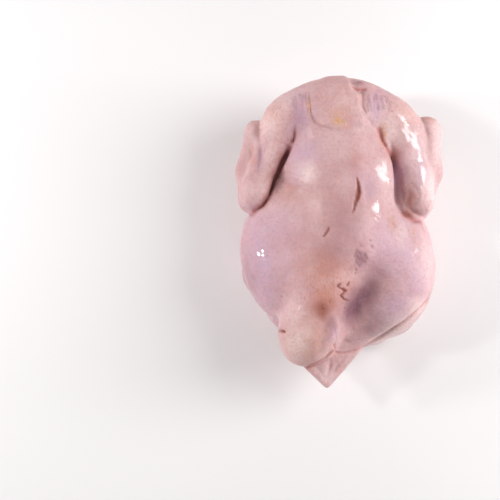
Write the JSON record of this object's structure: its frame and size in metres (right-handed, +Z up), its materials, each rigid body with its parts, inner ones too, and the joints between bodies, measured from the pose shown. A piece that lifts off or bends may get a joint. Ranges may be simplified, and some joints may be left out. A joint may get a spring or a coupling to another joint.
{
  "type": "whole raw chicken",
  "caption": "Whole raw chicken, plucked and oven-ready, resting breast down with its back up, wings folded against its sides, rump raised and a loose skin flap under the tail.",
  "frame": {"origin": "centre of the bird's outline as seen from above, on the surface that it rests on", "axes": "+Z up through the back, +Y towards the neck end, -Y towards the tail, +X to the bird's right-hand side with its back up"},
  "size_m": [0.1762, 0.26, 0.1],
  "materials": {
    "raw_skin": "wet, soft, slightly see-through pink skin"
  },
  "bodies": {
    "root": {"chicken": "raw_skin"}
  },
  "joints": []
}
